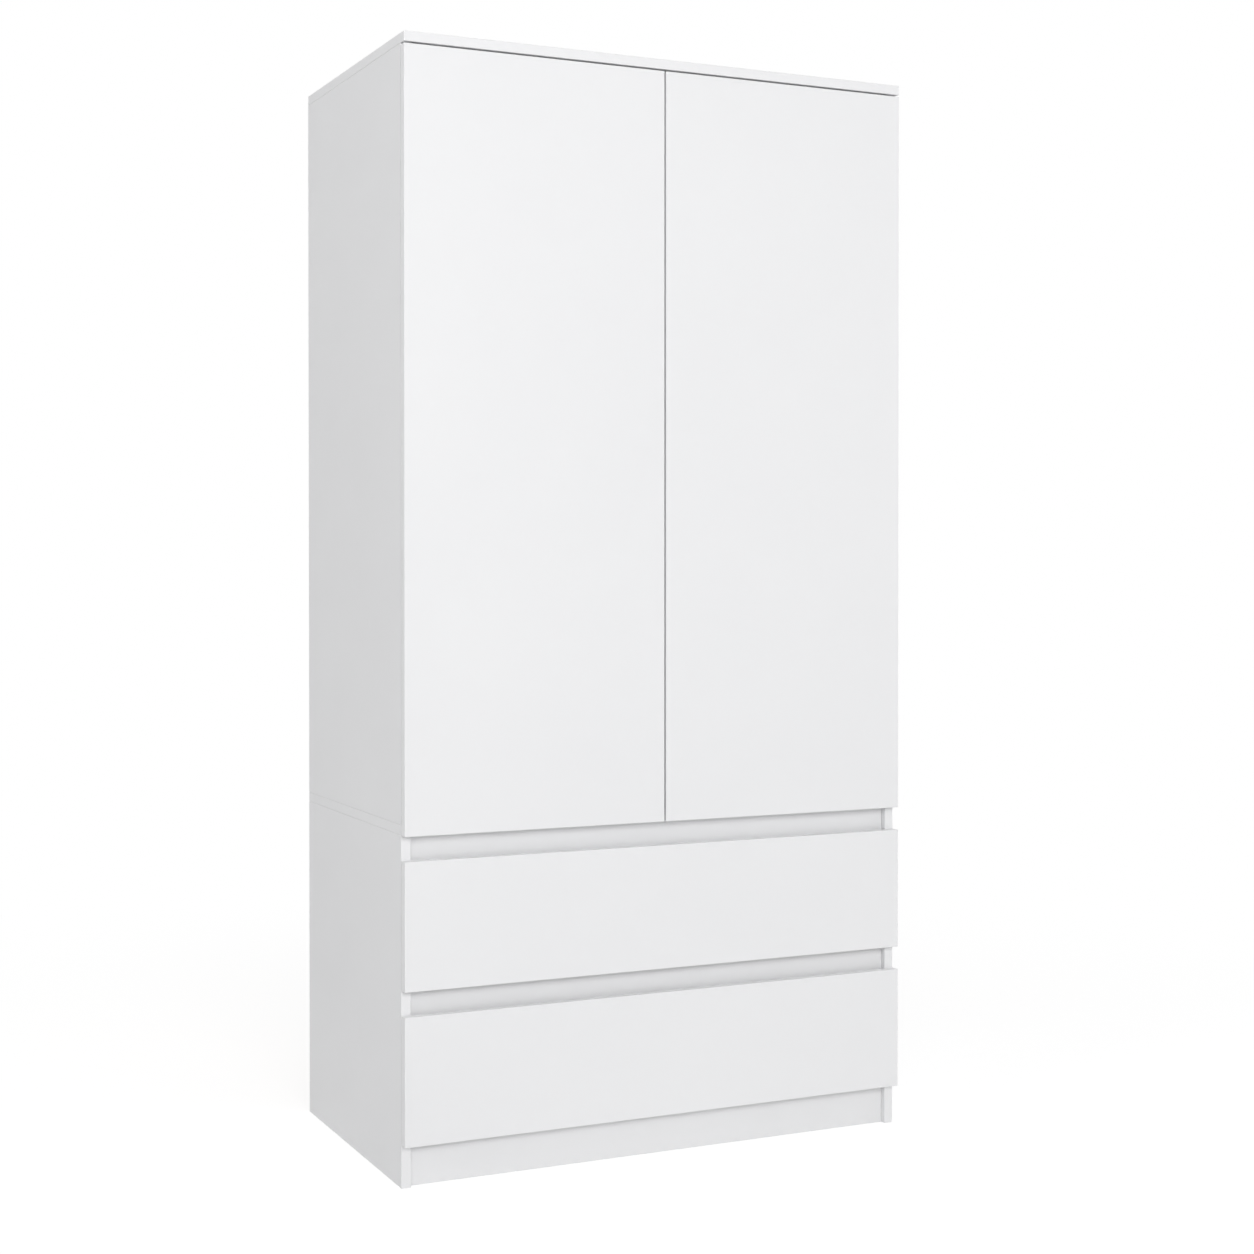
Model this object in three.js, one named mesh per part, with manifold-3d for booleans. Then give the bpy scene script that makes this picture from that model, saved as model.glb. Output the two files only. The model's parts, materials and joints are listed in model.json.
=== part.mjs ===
// Two-door wardrobe with two drawers, built from 16 mm melamine-faced boards.
// Millimetres, +Z up. The front faces -Y, the origin is on the floor under the middle.
import * as THREE from 'three';
import { mergeVertices } from 'three/addons/utils/BufferGeometryUtils.js';
import Module from 'manifold-3d';

const wasm = await Module();
wasm.setup();

// ---------- driving dimensions ----------

// Overall size, over the doors and the back
const WIDTH = 900;
const HEIGHT = 1800;
const DEPTH = 520;

// Boards
const BOARD = 16;
const BACK_SHEET = 3;
const FRONT_GAP = 2; // between the side boards' front edges and the doors
const FIT = 0.3; // between pieces that slide into each other

// Heights of the front, from the floor up
const PLINTH_HEIGHT = 68;
const DRAWER_FRONT_HEIGHT = 203;
const GRIP_GAP = 39; // finger gap above each drawer front
const MIDDLE_LAP = 1; // how far the doors hang below the middle panel's underside
const DOOR_TOP_GAP = 3;
const DOOR_MIDDLE_GAP = 3;

// Set-back boards
const RAIL_RECESS = 10; // plinth and grip rails, behind the side boards' front edges
const GRIP_RAIL_HEIGHT = 64;

// Back
const BACK_MARGIN = 2; // edge of the back sheets to the outline
const BACK_FOOT = 10; // lower edge of the back above the floor
const STRIP_WIDTH = 16; // H section that joins the two upper sheets
const STRIP_WALL = 1;
const STRIP_WEB = 1.6;
const STRIP_END_PLAY = 0.5;

// Inside the upper part
const SHELF_SPACE = 280; // clear height above the hat shelf
const SHELF_SETBACK = 20;
const RAIL_DROP = 58; // hanging rail's middle under the hat shelf
const RAIL_TALL = 30;
const RAIL_THICK = 15;
const RAIL_WALL = 1.2;
const SOCKET_PLATE = 2.5;
const SOCKET_RIM = 5; // plate beyond the collar, all round
const SOCKET_WALL = 2;
const SOCKET_REACH = 14;

// Drawers
const BOX_BOARD = 12;
const BOX_FLOOR_PLAY = 6; // drawer box above the bottom panel
const BOX_HEAD_PLAY = 6.5; // drawer box below the upper grip rail
const BOX_REAR_PLAY = 40;
const BOX_BACK_DROP = 15; // drawer back lower than the drawer sides
const DRAWER_BOTTOM = 3;
const BOTTOM_LIFT = 10; // drawer bottom above the box's lower edge
const GROOVE_DEPTH = 6;

// Telescopic slides
const SLIDE_HEIGHT = 45;
const SLIDE_THICK = 12.7;
const SLIDE_STEEL = 1.2;
const SLIDE_FRONT_PLAY = 4;
const SLIDE_REAR_PLAY = 34;
const SLIDE_LIPS = { outer: 9, middle: 11, inner: 3.2 }; // flange ends, from the side board

// Concealed hinges
const HINGE_END = 100; // hinge middle from the door's upper and lower ends
const HINGES_PER_DOOR = 3;
const CUP_RADIUS = 17.5;
const CUP_EDGE = 4; // bore's edge to the door's edge
const CUP_SKIN = 3.2; // door board left behind the bore
const CUP_WALL = 0.8;
const CUP_SLOT = 15.2; // height of the slot that the link folds into
const FLANGE = 0.8;
const FLANGE_WIDE = 14;
const FLANGE_TALL = 54;
const CUP_PIVOT_IN = 5; // from the bore's edge
const CUP_PIVOT_FLOOR = 5.7; // above the slot's floor
const ARM_PIVOT_IN = 14; // from the side board's inner face
const ARM_PIVOT_BACK = 4; // behind the side board's front edge
const LINK_TALL = 9;
const LINK_STEEL = 2;
const LINK_PLAY = 0.7; // bend of the link to the slot's floor
const EYE_RADIUS = 2.8;
const PIN_RADIUS = 1.5;
const PIN_PLAY = 0.1;
const EAR_STEEL = 3.2;
const ARM_BACK = 70; // arm's rear end behind the side board's front edge
const ARM_START = 8;
const ARM_LIFT = 3; // mounting plate under the arm
const ARM_DEEP = 8;
const PLATE_LONG = 44;
const PLATE_TALL = 22;
const WING_LONG = 16;
const WING_TALL = 50;
const WING_THICK = 2.5;

// ---------- levels worked out from them ----------

const frontFace = -DEPTH / 2;
const frontBack = frontFace + BOARD; // inner face of doors and drawer fronts
const carcassFront = frontBack + FRONT_GAP;
const carcassBack = DEPTH / 2 - STRIP_WALL - BACK_SHEET;
const backFace = carcassBack + BACK_SHEET;
const outer = WIDTH / 2;
const inner = outer - BOARD;

const drawerStep = DRAWER_FRONT_HEIGHT + GRIP_GAP;
const lowerFrontZ = PLINTH_HEIGHT;
const upperFrontZ = lowerFrontZ + drawerStep;
const doorZ = upperFrontZ + drawerStep;
const middleZ = doorZ + MIDDLE_LAP;
const topZ = HEIGHT - BOARD;
const doorTop = topZ - DOOR_TOP_GAP;
const doorEdge = DOOR_MIDDLE_GAP / 2;

const recessFront = carcassFront + RAIL_RECESS;
const upperRailZ = middleZ - GRIP_RAIL_HEIGHT;
const lowerRailZ = upperFrontZ - GRIP_GAP / 2 - GRIP_RAIL_HEIGHT / 2;
const shelfZ = topZ - SHELF_SPACE - BOARD;
const stripInner = carcassBack - STRIP_WALL;

const boxLift = BOARD + BOX_FLOOR_PLAY;
const boxHeight = upperRailZ - BOX_HEAD_PLAY - (upperFrontZ + boxLift);
const boxOuter = inner - SLIDE_THICK;
const boxInner = boxOuter - BOX_BOARD;
const boxBack = carcassBack - BOX_REAR_PLAY;

// ---------- materials ----------

const paint = (color, roughness, metalness = 0) =>
  new THREE.MeshStandardMaterial({ color, roughness, metalness });
const white = paint(0xf1f1f0, 0.45);
const backWhite = paint(0xe6e6e3, 0.6);
const steel = paint(0xb9bcc0, 0.35, 0.9);
const chrome = paint(0xd4d6d8, 0.15, 1);
const plastic = paint(0xe8e8e6, 0.5);

const wardrobe = new THREE.Group();

function add(name, geometry, material) {
  const mesh = new THREE.Mesh(geometry, material);
  mesh.name = name;
  wardrobe.add(mesh);
}

// ---------- shape helpers ----------

// A box between two corners.
function block([x0, x1], [y0, y1], [z0, z1]) {
  const geometry = new THREE.BoxGeometry(x1 - x0, y1 - y0, z1 - z0);
  return geometry.translate((x0 + x1) / 2, (y0 + y1) / 2, (z0 + z1) / 2);
}

// A shape drawn in X and Y, carried up from z0 to z1.
function upright(shape, z0, z1, curveSegments = 12) {
  const settings = { depth: z1 - z0, bevelEnabled: false, curveSegments };
  return new THREE.ExtrudeGeometry(shape, settings).translate(0, 0, z0);
}

// A shape drawn in X and Z, carried back from y0 to y1.
function backward(shape, y0, y1) {
  return upright(shape, 0, y1 - y0).rotateX(Math.PI / 2).translate(0, y1, 0);
}

// A shape drawn in Y and Z, carried across from x0 to x1.
function across(shape, x0, x1) {
  const geometry = upright(shape, 0, x1 - x0);
  return geometry.rotateX(Math.PI / 2).rotateZ(Math.PI / 2).translate(x0, 0, 0);
}

function outline(points) {
  return new THREE.Shape(points.map(([a, b]) => new THREE.Vector2(a, b)));
}

// A slot outline: two half circles, one above the other, joined by straight sides.
function slot(PathType, middleA, middleB, wide, tall) {
  const radius = wide / 2;
  const rise = tall / 2 - radius;
  const path = new PathType();
  path.absarc(middleA, middleB + rise, radius, 0, Math.PI, false);
  path.absarc(middleA, middleB - rise, radius, Math.PI, 2 * Math.PI, false);
  path.closePath();
  return path;
}

// A round bar standing up, or lying front to back.
function upBar(x, y, z0, z1, radius, sides = 24) {
  const geometry = new THREE.CylinderGeometry(radius, radius, z1 - z0, sides);
  return geometry.rotateX(Math.PI / 2).translate(x, y, (z0 + z1) / 2);
}

function backBar(x, z, y0, y1, radius, sides = 32) {
  const geometry = new THREE.CylinderGeometry(radius, radius, y1 - y0, sides);
  return geometry.translate(x, (y0 + y1) / 2, z);
}

// A band of even width along a line of points.
function ribbon(points, width) {
  const count = points.length;
  const normals = points.map((point, i) => {
    const before = points[Math.max(i - 1, 0)];
    const after = points[Math.min(i + 1, count - 1)];
    const into = point.clone().sub(before).normalize();
    const out = after.clone().sub(point).normalize();
    const along = into.add(out).normalize();
    return new THREE.Vector2(-along.y, along.x);
  });
  const shift = (sign) => points.map((point, i) =>
    point.clone().addScaledVector(normals[i], (sign * width) / 2));
  return new THREE.Shape([...shift(1), ...shift(-1).reverse()]);
}

// ---------- solids that are cut or joined ----------

function toSolid(geometry) {
  const bare = geometry.index ? geometry.toNonIndexed() : geometry.clone();
  bare.deleteAttribute('normal');
  bare.deleteAttribute('uv');
  const merged = mergeVertices(bare, 1e-4);
  return new wasm.Manifold(new wasm.Mesh({
    numProp: 3,
    vertProperties: new Float32Array(merged.attributes.position.array),
    triVerts: new Uint32Array(merged.index.array),
  }));
}

function toGeometry(solid) {
  const mesh = solid.getMesh();
  const geometry = new THREE.BufferGeometry();
  geometry.setAttribute('position', new THREE.BufferAttribute(mesh.vertProperties, 3));
  geometry.setIndex(new THREE.BufferAttribute(mesh.triVerts, 1));
  const flat = geometry.toNonIndexed();
  flat.computeVertexNormals();
  return flat;
}

function join(...geometries) {
  return toGeometry(geometries.map(toSolid).reduce((all, next) => all.add(next)));
}

function cut(geometry, ...tools) {
  return toGeometry(tools.map(toSolid).reduce((all, next) => all.subtract(next), toSolid(geometry)));
}

function overlapOf(first, second) {
  return toGeometry(toSolid(first).intersect(toSolid(second)));
}

// ---------- carcass ----------

const insideX = [-inner, inner];
const carcassY = [carcassFront, carcassBack];

function buildCarcass() {
  add('top_panel', block([-outer, outer], [frontFace, carcassBack], [topZ, HEIGHT]), white);
  add('middle_panel', block([-outer, outer], carcassY, [middleZ, middleZ + BOARD]), white);
  for (const [hand, sideX] of [['left', [-outer, -inner]], ['right', [inner, outer]]]) {
    add(`upper_${hand}_side`, block(sideX, carcassY, [middleZ + BOARD, topZ]), white);
    add(`lower_${hand}_side`, block(sideX, carcassY, [0, middleZ]), white);
  }
  const bottomZ = [PLINTH_HEIGHT, PLINTH_HEIGHT + BOARD];
  add('bottom_panel', block(insideX, [recessFront, carcassBack], bottomZ), white);
  const recessY = [recessFront, recessFront + BOARD];
  add('plinth', block(insideX, recessY, [0, PLINTH_HEIGHT]), white);
  add('upper_grip_rail', block(insideX, recessY, [upperRailZ, middleZ]), white);
  add('lower_grip_rail', block(insideX, recessY, [lowerRailZ, lowerRailZ + GRIP_RAIL_HEIGHT]), white);
  const shelfY = [carcassFront + SHELF_SETBACK, stripInner - FIT];
  add('hat_shelf', block(insideX, shelfY, [shelfZ, shelfZ + BOARD]), white);
}

// ---------- back: two upper sheets in an H strip, and one lower sheet ----------

function buildBack() {
  const edge = outer - BACK_MARGIN;
  const joint = middleZ + BOARD / 2;
  const sheetY = [carcassBack, backFace];
  const seam = STRIP_WEB / 2 + FIT;
  const upperZ = [joint + FIT, HEIGHT - BACK_MARGIN];
  add('upper_back_left', block([-edge, -seam], sheetY, upperZ), backWhite);
  add('upper_back_right', block([seam, edge], sheetY, upperZ), backWhite);
  add('lower_back_panel', block([-edge, edge], sheetY, [BACK_FOOT, joint - FIT]), backWhite);

  const half = STRIP_WIDTH / 2;
  const web = STRIP_WEB / 2;
  const right = [
    [half, stripInner], [half, carcassBack], [web, carcassBack],
    [web, backFace], [half, backFace], [half, DEPTH / 2],
  ];
  const left = right.map(([x, y]) => [-x, y]).reverse();
  const stripZ = [middleZ + BOARD + STRIP_END_PLAY, topZ - STRIP_END_PLAY];
  add('back_join_strip', upright(outline([...right, ...left]), ...stripZ), plastic);
}

// ---------- hanging rail in its two sockets ----------

function buildHangingRail() {
  const middleY = (carcassFront + carcassBack) / 2;
  const middle = [middleY, shelfZ - RAIL_DROP];
  const oval = (grow, PathType = THREE.Shape) =>
    slot(PathType, ...middle, RAIL_THICK + 2 * grow, RAIL_TALL + 2 * grow);

  const tube = oval(0);
  tube.holes.push(oval(-RAIL_WALL, THREE.Path));
  const end = inner - SOCKET_PLATE - FIT;
  add('hanging_rail', across(tube, -end, end), chrome);

  const plate = oval(FIT + SOCKET_WALL + SOCKET_RIM);
  const collar = oval(FIT + SOCKET_WALL);
  collar.holes.push(oval(FIT, THREE.Path));
  const plateBack = inner - SOCKET_PLATE;
  const reach = inner - SOCKET_REACH;
  const left = join(across(plate, -inner, -plateBack), across(collar, -plateBack - FIT, -reach));
  const right = join(across(plate, plateBack, inner), across(collar, reach, plateBack + FIT));
  add('rail_socket_left', left, plastic);
  add('rail_socket_right', right, plastic);
}

// ---------- drawers ----------

// The bottom sits in grooves of the sides and of the front, the back stands on it.
function buildDrawer(name, frontZ) {
  const z0 = frontZ + boxLift;
  const z1 = z0 + boxHeight;
  const bottomZ = z0 + BOTTOM_LIFT;
  const grooveZ = [bottomZ - FIT, bottomZ + DRAWER_BOTTOM + FIT];
  const grooveX = boxInner + GROOVE_DEPTH;
  const bottomX = grooveX - FIT;

  const slab = block([-outer, outer], [frontFace, frontBack], [frontZ, frontZ + DRAWER_FRONT_HEIGHT]);
  const frontGroove = block([-grooveX, grooveX], [frontBack - GROOVE_DEPTH, frontBack + BOARD], grooveZ);
  add(`${name}_drawer_front`, cut(slab, frontGroove), white);

  for (const [hand, sign] of [['left', -1], ['right', 1]]) {
    const section = outline([
      [sign * boxOuter, z0], [sign * boxOuter, z1], [sign * boxInner, z1],
      [sign * boxInner, grooveZ[1]], [sign * grooveX, grooveZ[1]],
      [sign * grooveX, grooveZ[0]], [sign * boxInner, grooveZ[0]], [sign * boxInner, z0],
    ]);
    add(`${name}_drawer_${hand}_side`, backward(section, frontBack, boxBack), white);
  }

  const floorTop = bottomZ + DRAWER_BOTTOM;
  const backX = [-boxInner, boxInner];
  add(`${name}_drawer_back`, block(backX, [boxBack - BOX_BOARD, boxBack], [floorTop, z1 - BOX_BACK_DROP]), white);
  const bottomY = [frontBack - GROOVE_DEPTH + FIT, boxBack];
  add(`${name}_drawer_bottom`, block([-bottomX, bottomX], bottomY, [bottomZ, floorTop]), backWhite);

  buildSlides(name, z0 + boxHeight / 2);
}

// Three nested channels a side: on the side board, between, and on the drawer.
function buildSlides(name, middle) {
  const step = SLIDE_STEEL + FIT;
  const channels = {
    outer: { web: 0, lip: SLIDE_LIPS.outer, half: SLIDE_HEIGHT / 2 },
    middle: { web: step, lip: SLIDE_LIPS.middle, half: SLIDE_HEIGHT / 2 - step },
    inner: { web: SLIDE_THICK, lip: SLIDE_LIPS.inner, half: SLIDE_HEIGHT / 2 - 2 * step },
  };
  const slideY = [carcassFront + SLIDE_FRONT_PLAY, carcassBack - SLIDE_REAR_PLAY];
  for (const [hand, sign] of [['left', -1], ['right', 1]]) {
    for (const [member, { web, lip, half }] of Object.entries(channels)) {
      const wall = web + Math.sign(lip - web) * SLIDE_STEEL;
      const at = (reach) => sign * (inner - reach);
      const low = middle - half;
      const high = middle + half;
      const section = outline([
        [at(web), low], [at(lip), low], [at(lip), low + SLIDE_STEEL], [at(wall), low + SLIDE_STEEL],
        [at(wall), high - SLIDE_STEEL], [at(lip), high - SLIDE_STEEL], [at(lip), high], [at(web), high],
      ]);
      add(`${name}_${hand}_slide_${member}`, backward(section, ...slideY), steel);
    }
  }
}

// ---------- doors and concealed hinges ----------

const cupMiddle = CUP_EDGE + CUP_RADIUS; // from the door's edge
const boreDepth = BOARD - CUP_SKIN;
const slotFloor = boreDepth - FIT - CUP_WALL; // below the door's inner face

function hingeHeights() {
  const low = doorZ + HINGE_END;
  const pitch = (doorTop - HINGE_END - low) / (HINGES_PER_DOOR - 1);
  return Array.from({ length: HINGES_PER_DOOR }, (_, i) => low + i * pitch);
}

// Hinge plan: "in" is measured from the side board's outer face, "back" from its front edge.
function hingePlan(sign) {
  return ([inward, back]) => [sign * (outer - inward), carcassFront + back];
}

const cupPivot = [CUP_EDGE + CUP_PIVOT_IN, -FRONT_GAP - slotFloor + CUP_PIVOT_FLOOR];
const armPivot = [BOARD + ARM_PIVOT_IN, ARM_PIVOT_BACK];

function buildDoor(hand, sign) {
  const x = [sign * outer, sign * doorEdge].sort((a, b) => a - b);
  const slab = block(x, [frontFace, frontBack], [doorZ, doorTop]);
  const boreX = sign * (outer - cupMiddle);
  const bores = hingeHeights().map((z) =>
    backBar(boreX, z, frontBack - boreDepth, frontBack + BOARD, CUP_RADIUS));
  add(`${hand}_door`, cut(slab, ...bores), white);
}

// A round cup with a slot for the link, and a flange that lies on the door.
function hingeCup(sign, z) {
  const plan = hingePlan(sign);
  const x = sign * (outer - cupMiddle);
  const radius = CUP_RADIUS - FIT;
  const body = backBar(x, z, frontBack - boreDepth + FIT, frontBack + FLANGE / 2, radius);
  const flangeX = [x - FLANGE_WIDE / 2, x + FLANGE_WIDE / 2];
  const flangeZ = [z - FLANGE_TALL / 2, z + FLANGE_TALL / 2];
  const flange = block(flangeX, [frontBack, frontBack + FLANGE], flangeZ);
  const well = backBar(x, z, frontBack - slotFloor, frontBack + BOARD, CUP_RADIUS - FIT - CUP_WALL);
  const reach = [x - CUP_RADIUS, x + CUP_RADIUS];
  const mouth = block(reach, [frontBack - BOARD, frontBack + BOARD], [z - CUP_SLOT / 2, z + CUP_SLOT / 2]);
  const [pinX, pinY] = plan(cupPivot);
  const pinHalf = CUP_SLOT / 2 + EAR_STEEL;
  const bore = upBar(pinX, pinY, z - pinHalf, z + pinHalf, PIN_RADIUS + PIN_PLAY);
  return cut(join(body, flange), overlapOf(well, mouth), bore);
}

// A bent steel link: it dips into the cup's slot to pass round the door's edge.
function hingeLink(sign, z) {
  const plan = hingePlan(sign);
  const deepest = -FRONT_GAP - slotFloor + LINK_PLAY + LINK_STEEL / 2;
  const bends = [
    cupPivot,
    [cupPivot[0] + 3, deepest + 0.5],
    [cupPivot[0] + 7, deepest],
    [cupPivot[0] + 10.5, deepest + 0.8],
    [armPivot[0] - 6, deepest + 5.5],
    armPivot,
  ];
  const line = bends.map((point) => new THREE.Vector2(...plan(point)));
  const [low, high] = [z - LINK_TALL / 2, z + LINK_TALL / 2];
  const strip = upright(ribbon(line, LINK_STEEL), low, high);
  const eyes = [cupPivot, armPivot].map((point) => upBar(...plan(point), low, high, EYE_RADIUS));
  const cupPin = CUP_SLOT / 2 + EAR_STEEL - FIT;
  const armPin = LINK_TALL / 2 + FIT + EAR_STEEL;
  const pins = [
    upBar(...plan(cupPivot), z - cupPin, z + cupPin, PIN_RADIUS),
    upBar(...plan(armPivot), z - armPin, z + armPin, PIN_RADIUS),
  ];
  return join(strip, ...eyes, ...pins);
}

// The arm on its mounting plate, with two ears that hold the link's pin.
function hingeArm(sign, z) {
  const plan = hingePlan(sign);
  const slab = (inward, back, tall) => {
    const [xa, y0] = plan([inward[0], back[0]]);
    const [xb, y1] = plan([inward[1], back[1]]);
    return block([Math.min(xa, xb), Math.max(xa, xb)], [y0, y1], [z - tall / 2, z + tall / 2]);
  };
  const armTall = LINK_TALL + 2 * FIT + 2 * EAR_STEEL;
  const armIn = BOARD + ARM_LIFT;
  const plateBack = ARM_BACK - ARM_START;
  const plateFront = plateBack - PLATE_LONG;
  const wingFront = plateFront + (PLATE_LONG - WING_LONG) / 2;
  const bar = slab([armIn, armIn + ARM_DEEP], [ARM_START, ARM_BACK], armTall);
  const plate = slab([BOARD, armIn], [plateFront, plateBack], PLATE_TALL);
  const wings = slab([BOARD, BOARD + WING_THICK], [wingFront, wingFront + WING_LONG], WING_TALL);
  const [pivotIn, pivotBack] = armPivot;
  const ear = outline([
    [armIn + 2, ARM_START + 6], [armIn + 5, pivotBack], [pivotIn - 2, pivotBack - 3.5],
    [pivotIn + 3, pivotBack - 2.5], [pivotIn + 4, pivotBack + 2], [pivotIn - 3, ARM_START + 6],
  ].map(plan));
  const [low, high] = [z - armTall / 2, z + armTall / 2];
  const ears = [upright(ear, low, low + EAR_STEEL), upright(ear, high - EAR_STEEL, high)];
  const bore = upBar(...plan(armPivot), low - 1, high + 1, PIN_RADIUS + PIN_PLAY);
  return cut(join(bar, plate, wings, ...ears), bore);
}

function buildHinges(hand, sign) {
  const places = ['bottom', 'middle', 'top'];
  hingeHeights().forEach((z, i) => {
    const name = `${hand}_${places[i]}_hinge`;
    add(`${name}_cup`, hingeCup(sign, z), steel);
    add(`${name}_link`, hingeLink(sign, z), steel);
    add(`${name}_arm`, hingeArm(sign, z), steel);
  });
}

buildCarcass();
buildBack();
buildHangingRail();
buildDrawer('lower', lowerFrontZ);
buildDrawer('upper', upperFrontZ);
for (const [hand, sign] of [['left', -1], ['right', 1]]) {
  buildDoor(hand, sign);
  buildHinges(hand, sign);
}

export default wardrobe;
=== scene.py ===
import json
import math

import bmesh
import bpy
import numpy as np
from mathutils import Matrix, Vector


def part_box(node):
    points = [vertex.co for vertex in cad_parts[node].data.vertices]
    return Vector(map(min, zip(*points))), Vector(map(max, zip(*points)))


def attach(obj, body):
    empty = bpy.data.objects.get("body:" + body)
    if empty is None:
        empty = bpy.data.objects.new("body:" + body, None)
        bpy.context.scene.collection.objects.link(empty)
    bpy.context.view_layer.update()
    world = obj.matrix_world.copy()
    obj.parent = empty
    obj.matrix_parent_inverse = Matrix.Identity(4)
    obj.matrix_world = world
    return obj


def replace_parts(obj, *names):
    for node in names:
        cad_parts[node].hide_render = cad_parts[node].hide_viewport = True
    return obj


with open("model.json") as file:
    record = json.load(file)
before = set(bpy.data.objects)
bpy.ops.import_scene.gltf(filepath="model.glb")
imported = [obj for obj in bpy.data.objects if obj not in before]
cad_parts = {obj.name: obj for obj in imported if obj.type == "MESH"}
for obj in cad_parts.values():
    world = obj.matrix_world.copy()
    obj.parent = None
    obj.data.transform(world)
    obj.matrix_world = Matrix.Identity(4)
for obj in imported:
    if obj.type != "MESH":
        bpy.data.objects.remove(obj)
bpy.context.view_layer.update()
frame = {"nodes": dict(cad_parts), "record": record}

HANDS = (("left", -1), ("right", 1))
TIERS = ("upper", "lower")
HINGE_PLACES = ("bottom", "middle", "top")
MM = 0.001
ALONG, BACK, UP = (1, 0, 0), (0, 1, 0), (0, 0, 1)  # to the right, to the rear and up

# ---------- camera: standing left of the wardrobe, eye at about one metre, film shifted down ----------

LENS = 59.66
EYE = (-1.5069, -3.3175, 0.9902)
TURN = math.radians(25.18)
DIP = math.radians(0.613)
FILM_DROP = -0.04


def make_camera():
    data = bpy.data.cameras.new("camera")
    data.sensor_width = 36.0
    data.lens = LENS
    data.shift_y = FILM_DROP
    camera = bpy.data.objects.new("camera", data)
    camera.location = EYE
    camera.rotation_euler = (math.pi / 2 - DIP, 0, -TURN)
    bpy.context.scene.collection.objects.link(camera)
    bpy.context.scene.camera = camera


# ---------- materials ----------


class Finish:
    """A Principled material with short helpers for its nodes."""

    def __init__(self, name, color, roughness, metallic=0.0):
        self.material = bpy.data.materials.new(name)
        self.material.use_nodes = True
        self.nodes = self.material.node_tree.nodes
        self.links = self.material.node_tree.links
        self.shader = self.nodes["Principled BSDF"]
        self.shader.inputs["Base Color"].default_value = (*color, 1)
        self.shader.inputs["Roughness"].default_value = roughness
        self.shader.inputs["Metallic"].default_value = metallic
        self.place = self.nodes.new("ShaderNodeTexCoord").outputs["Object"]

    def stretched(self, scale):
        """Object coordinates with each axis scaled, for streaks."""
        mapping = self.nodes.new("ShaderNodeMapping")
        mapping.inputs["Scale"].default_value = scale
        self.links.new(self.place, mapping.inputs["Vector"])
        return mapping.outputs["Vector"]

    def noise(self, scale, detail, place=None):
        node = self.nodes.new("ShaderNodeTexNoise")
        node.inputs["Scale"].default_value = scale
        node.inputs["Detail"].default_value = detail
        self.links.new(place or self.place, node.inputs["Vector"])
        return node.outputs["Fac"]

    def spread(self, value, low, high, start=0.3, end=0.7):
        """Maps start..end of a value to low..high."""
        node = self.nodes.new("ShaderNodeMapRange")
        node.inputs["From Min"].default_value = start
        node.inputs["From Max"].default_value = end
        node.inputs["To Min"].default_value = low
        node.inputs["To Max"].default_value = high
        self.links.new(value, node.inputs["Value"])
        return node.outputs["Result"]

    def blend(self, factor, first, second):
        """A colour between two colours or colour sockets."""
        node = self.nodes.new("ShaderNodeMix")
        node.data_type = "RGBA"
        self.links.new(factor, node.inputs["Factor"])
        for socket, value in ((node.inputs[6], first), (node.inputs[7], second)):
            if isinstance(value, tuple):
                socket.default_value = (*value, 1)
            else:
                self.links.new(value, socket)
        return node.outputs[2]

    def color(self, socket):
        self.links.new(socket, self.shader.inputs["Base Color"])

    def roughness(self, socket):
        self.links.new(socket, self.shader.inputs["Roughness"])

    def bump(self, height, depth, strength):
        """Relief of the given depth in metres."""
        node = self.nodes.new("ShaderNodeBump")
        node.inputs["Distance"].default_value = depth
        node.inputs["Strength"].default_value = strength
        self.links.new(height, node.inputs["Height"])
        self.links.new(node.outputs["Normal"], self.shader.inputs["Normal"])


def white_foil():
    """Matt melamine foil: a fine pearl relief and a very slight drift of tone and gloss."""
    finish = Finish("white_foil", color=(0.845, 0.847, 0.857), roughness=0.46)
    drift = finish.spread(finish.noise(scale=2.2, detail=3), low=0, high=1)
    finish.color(finish.blend(drift, (0.838, 0.84, 0.85), (0.852, 0.854, 0.862)))
    finish.roughness(finish.spread(finish.noise(scale=9, detail=3), low=0.42, high=0.52))
    finish.bump(finish.noise(scale=850, detail=2), depth=0.04 * MM, strength=0.5)
    return finish.material


def fibreboard(name, axis, level, sign):
    """Thin fibreboard, lacquered white, and raw brown past a level on one axis, on the sign's side."""
    finish = Finish(name, color=(0.8, 0.8, 0.79), roughness=0.5)
    split = finish.nodes.new("ShaderNodeSeparateXYZ")
    finish.links.new(finish.place, split.inputs["Vector"])
    edge = sign * 0.2 * MM
    raw = finish.spread(split.outputs[axis], low=0, high=1, start=level - edge, end=level + edge)
    fibres = finish.spread(finish.noise(scale=420, detail=6), low=0, high=1)
    clouds = finish.spread(finish.noise(scale=7, detail=4), low=0, high=1)
    brown = finish.blend(fibres, (0.30, 0.185, 0.105), (0.43, 0.285, 0.175))
    brown = finish.blend(clouds, brown, (0.39, 0.255, 0.155))
    lacquer = finish.blend(clouds, (0.79, 0.79, 0.785), (0.81, 0.81, 0.8))
    finish.color(finish.blend(raw, lacquer, brown))
    finish.roughness(finish.spread(raw, low=0.45, high=0.8, start=0, end=1))
    finish.bump(finish.noise(scale=600, detail=4), depth=0.06 * MM, strength=0.6)
    return finish.material


def zinc_steel(name, along):
    """Zinc-plated steel: satin, slightly clouded, finely scratched along the axis of the small scale."""
    finish = Finish(name, color=(0.62, 0.635, 0.66), roughness=0.3, metallic=1.0)
    clouds = finish.spread(finish.noise(scale=60, detail=4), low=0, high=1)
    finish.color(finish.blend(clouds, (0.58, 0.595, 0.62), (0.68, 0.69, 0.71)))
    scratches = finish.noise(scale=500, detail=3, place=finish.stretched(along))
    finish.roughness(finish.spread(scratches, low=0.25, high=0.4))
    finish.bump(scratches, depth=0.01 * MM, strength=0.1)
    return finish.material


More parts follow.
